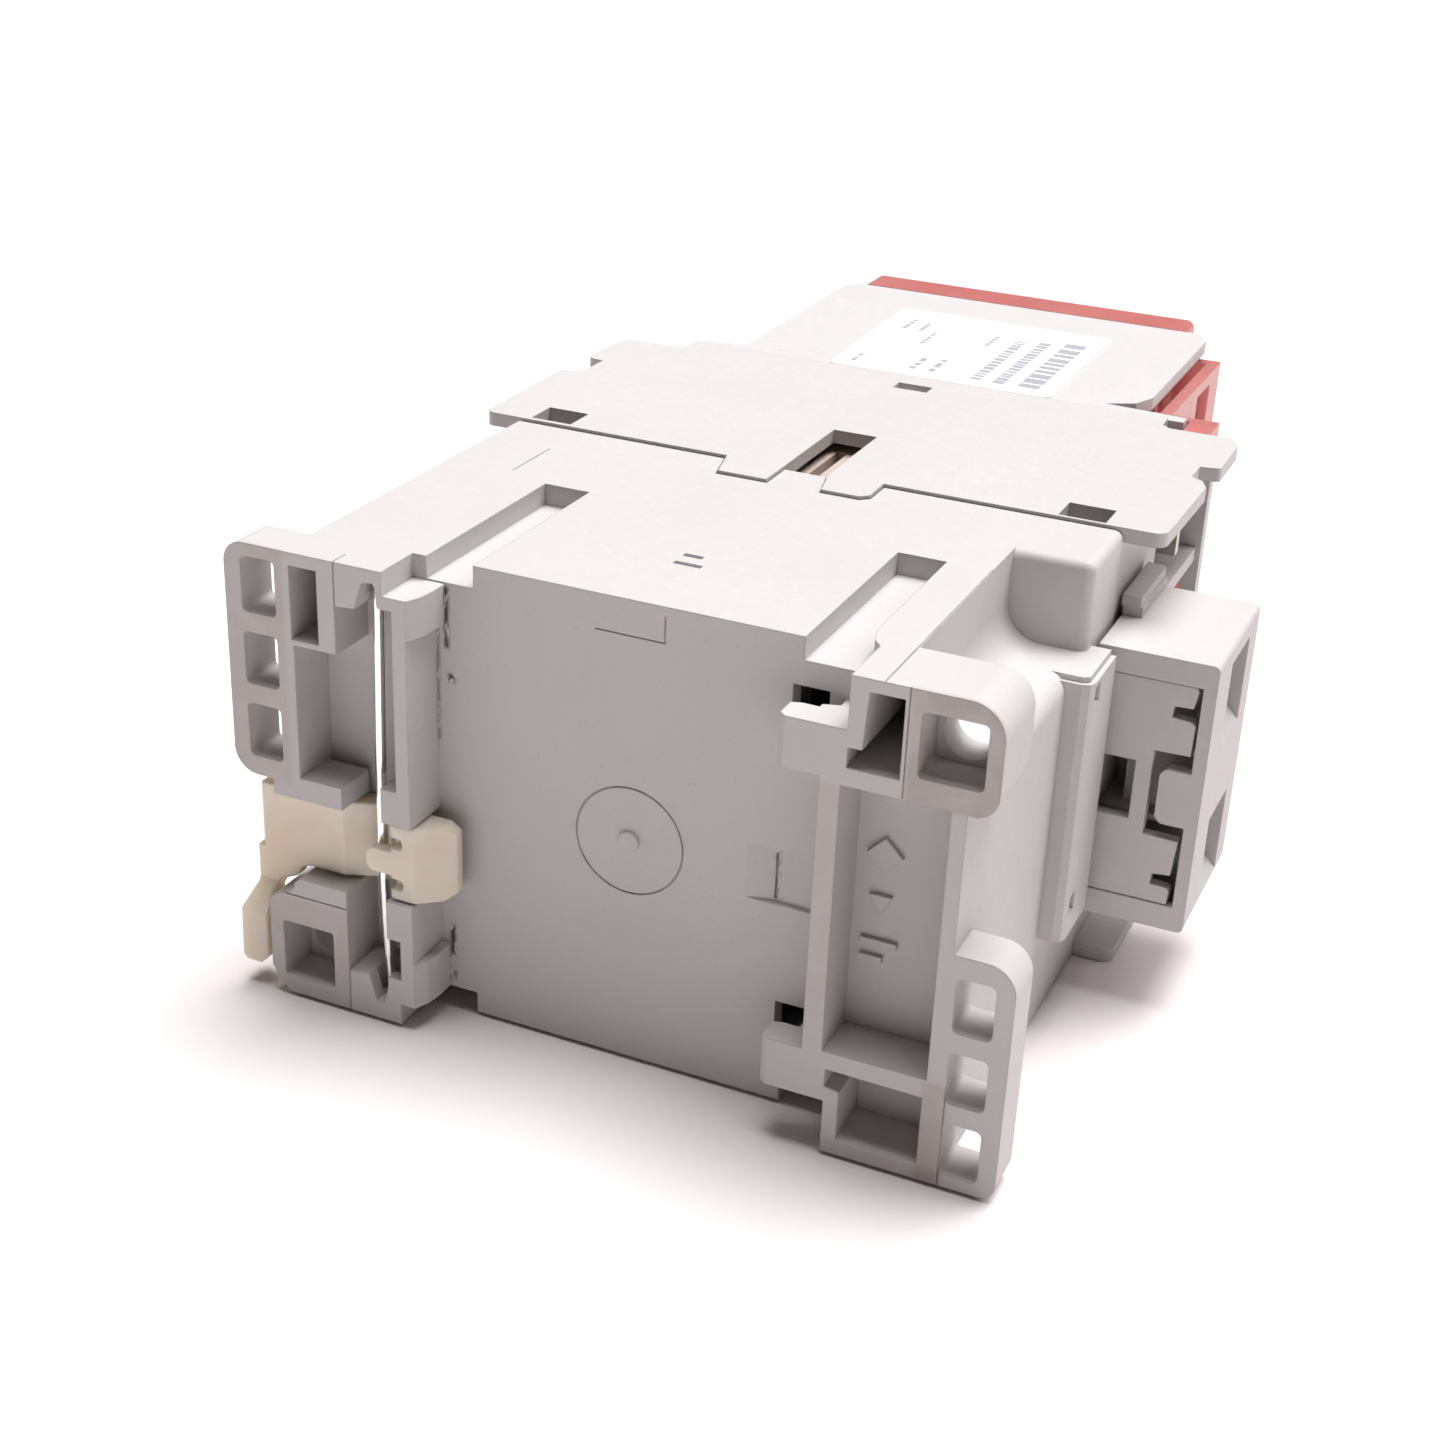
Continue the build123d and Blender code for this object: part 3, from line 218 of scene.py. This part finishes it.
def base_stains(s, tint):
    """Brown handling dirt on the foot's mounting faces and black rail scuffs on the back face."""
    brown, black = (0.30, 0.22, 0.19), (0.035, 0.032, 0.032)
    blotch = s.ramp(s.noise(240.0, 6.0, distortion=0.5), (0.40, 0.0), (0.68, 1.0))
    face = (-0.4, 0.3)
    for x, z, amount in (((63.4, 71.2), (35.0, 45.0), 0.42), ((66.9, 69.3), (0.0, 10.0), 0.45),
                         ((58.3, 69.0), (0.0, 1.6), 0.30), ((-0.2, 6.0), (22.3, 45.0), 0.22),
                         ((2.6, 11.3), (0.0, 10.6), 0.20), ((56.0, 58.2), (10.0, 35.0), 0.14)):
        here = s.math("MULTIPLY", s.patch(x, face, z, 0.25), s.math("MULTIPLY_ADD", blotch, 0.7), True)
        tint = s.mix(s.math("MULTIPLY", here, amount), tint, brown)
    scrape = s.ramp(s.noise(1500.0, 5.0, stretch=(1.0, 1.0, 0.45), distortion=0.8), (0.47, 0.0), (0.54, 1.0))
    back = (4.9, 5.5)
    for x, z, amount in (((18.95, 19.45), (36.6, 42.4), 1.0), ((19.1, 19.7), (2.9, 8.9), 1.0),
                         ((18.2, 18.45), (26.8, 42.0), 0.8), ((19.3, 20.0), (33.4, 34.3), 1.0),
                         ((18.4, 19.1), (40.6, 42.4), 0.6), ((50.7, 51.2), (20.0, 25.0), 0.5)):
        spots = s.math("MULTIPLY", s.patch(x, back if x[0] < 50 else (5.0, 6.2), z, 0.22), scrape, True)
        tint = s.mix(s.math("MULTIPLY", spots, amount), tint, black)
    return tint


def natural_nylon():
    """Translucent natural nylon of the latch, cloudy and slightly yellowed."""
    s = Shader("natural_nylon")
    cloud = s.ramp(s.noise(140.0, 3.0, distortion=0.4), (0.3, (0.74, 0.655, 0.53)), (0.7, (0.80, 0.74, 0.635)))
    s.set("Base Color", cloud)
    s.set("Roughness", 0.40)
    s.set("Subsurface Weight", 0.60)
    s.set("Subsurface Radius", (0.0030, 0.0022, 0.0013))
    s.set("Subsurface Scale", 1.0)
    s.set("Normal", s.bump(s.noise(900.0, 2.0), 0.12, 0.00006, s.rounded(0.0004)))
    return s.mat


def metal(name, colour, rough, stretch=(1.0, 1.0, 1.0), streak=900.0, dull=0.75):
    """Bare metal with fine streaks that dull its colour and roughness."""
    s = Shader(name)
    lines = s.noise(streak, 4.0, stretch=stretch)
    s.set("Base Color", s.mix(s.ramp(lines, (0.3, 0.0), (0.7, 1.0)), [c * dull for c in colour], colour))
    s.set("Metallic", 1.0)
    s.set("Roughness", s.ramp(lines, (0.25, rough * 0.8), (0.75, min(1.0, rough * 1.3))))
    s.set("Normal", s.bump(lines, 0.15, 0.00003))
    return s.mat


def red_cover():
    """Translucent red safety cover, with a painted highlight mixed in along its edges."""
    s = Shader("red_cover")
    cloud = s.ramp(s.noise(90.0, 3.0), (0.3, (0.80, 0.26, 0.24)), (0.7, (0.86, 0.34, 0.31)))
    # painted highlight: the cover's edges are mixed halfway towards a pale pink
    edge = s.math("MULTIPLY", s.edge(0.0004), 0.5)
    s.set("Base Color", s.mix(edge, cloud, (0.92, 0.55, 0.52)))
    s.set("Roughness", 0.30)
    s.set("Transmission Weight", 0.50)
    s.set("IOR", 1.50)
    s.set("Subsurface Weight", 0.30)
    s.set("Subsurface Radius", (0.0040, 0.0018, 0.0016))
    s.set("Subsurface Scale", 1.0)
    s.set("Normal", s.bump(s.noise(500.0, 2.0), 0.06, 0.00005, s.rounded(0.0003)))
    return s.mat


def paper(name, colour):
    """Matt paper or ink, slightly uneven in tone."""
    s = Shader(name)
    s.set("Base Color", s.mix(s.noise(1500.0, 2.0), colour, [c * 0.96 for c in colour]))
    s.set("Roughness", 0.62)
    return s.mat


def winding():
    """The outside of the coil, ribbed by its turns."""
    s = Shader("coil_tape")
    turns = s.node("TexWave", Vector=s.coords, Scale=900.0, Distortion=0.4)
    turns.bands_direction = "Y"
    s.set("Base Color", s.mix(turns.outputs["Fac"], (0.42, 0.16, 0.07), (0.66, 0.33, 0.16)))
    s.set("Roughness", 0.35)
    s.set("Metallic", 0.6)
    s.set("Normal", s.bump(turns.outputs["Fac"], 0.5, 0.0001))
    return s.mat


def rubber():
    """Black rubber of the core cushion."""
    s = Shader("rubber")
    s.set("Base Color", s.mix(s.noise(400.0, 3.0), (0.02, 0.02, 0.02), (0.05, 0.05, 0.05)))
    s.set("Roughness", 0.8)
    return s.mat


# ------------------------------------------------------------------ finish of every CAD node
def finishes():
    grey = (0.552, 0.533, 0.526)
    base = moulded_plastic("grey_base", grey, marks=True)
    plain = moulded_plastic("grey_plain", grey)
    front = moulded_plastic("grey_front", (0.570, 0.556, 0.551), wear=0.2)
    steel = metal("core_steel", (0.42, 0.42, 0.43), 0.45, (1.0, 1.0, 30.0))
    zinc = metal("zinc_steel", (0.66, 0.65, 0.60), 0.35)
    wire = metal("spring_wire", (0.86, 0.86, 0.84), 0.16, (1.0, 1.0, 0.05), 500.0, 0.92)
    copper = metal("contact_copper", (0.80, 0.52, 0.33), 0.32, (4.0, 1.0, 4.0))
    beige = moulded_plastic("beige_thermoset", (0.52, 0.43, 0.37), rough=0.5)
    former = moulded_plastic("coil_former", (0.64, 0.60, 0.52))
    table = {
        "base_housing": base, "contact_housing": plain, "terminal_cover": front,
        "coil_terminal_block": plain, "coil_terminal_tray": plain, "aux_housing": front,
        "rail_latch": natural_nylon(), "latch_spring": wire, "return_springs": wire,
        "contact_springs": wire, "fixed_core": steel, "armature": steel, "core_rivets": zinc,
        "armature_pin": zinc, "core_cushion": rubber(), "coil_winding": winding(),
        "coil_bobbin": former, "contact_carrier": beige, "aux_carrier": beige,
        "safety_cover": red_cover(), "rating_label": paper("label_paper", (0.90, 0.90, 0.90)),
    }
    for name, obj in nodes.items():
        if name in table:
            material = table[name]
        elif "screws" in name or "clamps" in name:
            material = zinc
        else:
            material = copper
        obj.data.materials.clear()
        obj.data.materials.append(material)
        for polygon in obj.data.polygons:
            polygon.material_index = 0


# ------------------------------------------------------------------ printed marks
def printed(name, bars, height, material):
    """Thin bars of ink on the upper side face, as one piece: each bar is its datum x and y spans."""
    mesh = bpy.data.meshes.new(name)
    bm = bmesh.new()
    for x, y in bars:
        low, high = row(x[0], y[0], height), row(x[1], y[1], height + INK_T)
        corners = [(low.x, low.y), (high.x, low.y), (high.x, high.y), (low.x, high.y)]
        base = bm.faces.new([bm.verts.new((cx, cy, low.z)) for cx, cy in corners])
        grown = bmesh.ops.extrude_face_region(bm, geom=[base])
        top = [v for v in grown["geom"] if isinstance(v, bmesh.types.BMVert)]
        bmesh.ops.translate(bm, vec=(0, 0, high.z - low.z), verts=top)
    bmesh.ops.recalc_face_normals(bm, faces=bm.faces)
    bm.to_mesh(mesh)
    bm.free()
    piece = bpy.data.objects.new(name, mesh)
    bpy.context.collection.objects.link(piece)
    piece.data.materials.append(material)
    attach(piece, "housing")


def label_print():
    """Rows of plain grey dashes in place of print on the side label."""
    bars = []
    # each row: its two edges in x, the start and end of its dashes in y, and their usual length
    rows = ((46.4, 48.8, 79.8, 99.6, 1.7), (43.6, 44.9, 79.6, 98.0, 0.9), (41.0, 42.2, 79.8, 97.0, 0.9),
            (38.2, 38.8, 93.0, 98.0, 0.5), (33.8, 34.5, 80.0, 85.2, 1.5), (36.0, 36.7, 80.0, 85.2, 1.5),
            (27.4, 28.0, 95.2, 99.6, 0.8), (29.4, 30.0, 95.0, 99.0, 0.6), (31.4, 31.9, 90.2, 95.4, 0.7),
            (27.0, 27.6, 79.6, 83.0, 0.8))
    for x0, x1, y, end, length in rows:
        while y < end:
            step = length * random.uniform(0.6, 1.3)
            bars.append(((x0, x1), (y, min(y + step, end))))
            y += step + length * random.uniform(0.22, 0.5)
    printed("label_print", bars, LABEL_TOP, paper("label_ink", (0.36, 0.36, 0.40)))


def ink_tick():
    """Two plain dashes stamped on the side of the base."""
    strokes = (((36.3, 38.9), (14.2, 14.8)), ((36.3, 38.1), (16.2, 16.8)))
    printed("ink_tick", strokes, SIDE_TOP, paper("stamp_ink", (0.13, 0.13, 0.14)))


# ------------------------------------------------------------------ stage and light
def stage():
    floor_z = cad_low[2] - FLOOR_GAP
    bpy.ops.mesh.primitive_plane_add(size=FLOOR_SIZE, location=(0, 0, floor_z))
    floor = bpy.context.object
    floor.name = "floor"
    s = Shader("floor")
    s.set("Base Color", s.mix(s.noise(3.0), (0.80, 0.76, 0.755), (0.82, 0.78, 0.775)))
    s.set("Roughness", 0.75)
    s.set("Specular IOR Level", 0.2)
    floor.data.materials.append(s.mat)

    world = bpy.data.worlds.new("studio")
    bpy.context.scene.world = world
    world.use_nodes = True
    background = world.node_tree.nodes["Background"]
    background.inputs["Color"].default_value = (1.0, 0.86, 0.84, 1)
    background.inputs["Strength"].default_value = STUDIO_FILL

    def sun(name, energy, angle, direction, colour):
        data = bpy.data.lights.new(name, "SUN")
        data.energy = energy
        data.angle = math.radians(angle)
        data.color = colour
        lamp = bpy.data.objects.new(name, data)
        bpy.context.collection.objects.link(lamp)
        lamp.rotation_euler = (-Vector(direction)).to_track_quat("-Z", "Y").to_euler()

    sun("overhead", 4.2, 40, (0.03, 0.16, 1.0), (1.0, 0.985, 0.99))
    sun("side", 1.5, 46, (0.55, 0.55, 1.0), (1.0, 0.985, 0.99))
    scene = bpy.context.scene
    scene.view_settings.view_transform = "Standard"
    scene.view_settings.look = "None"


add_camera()
finishes()
label_print()
ink_tick()
stage()
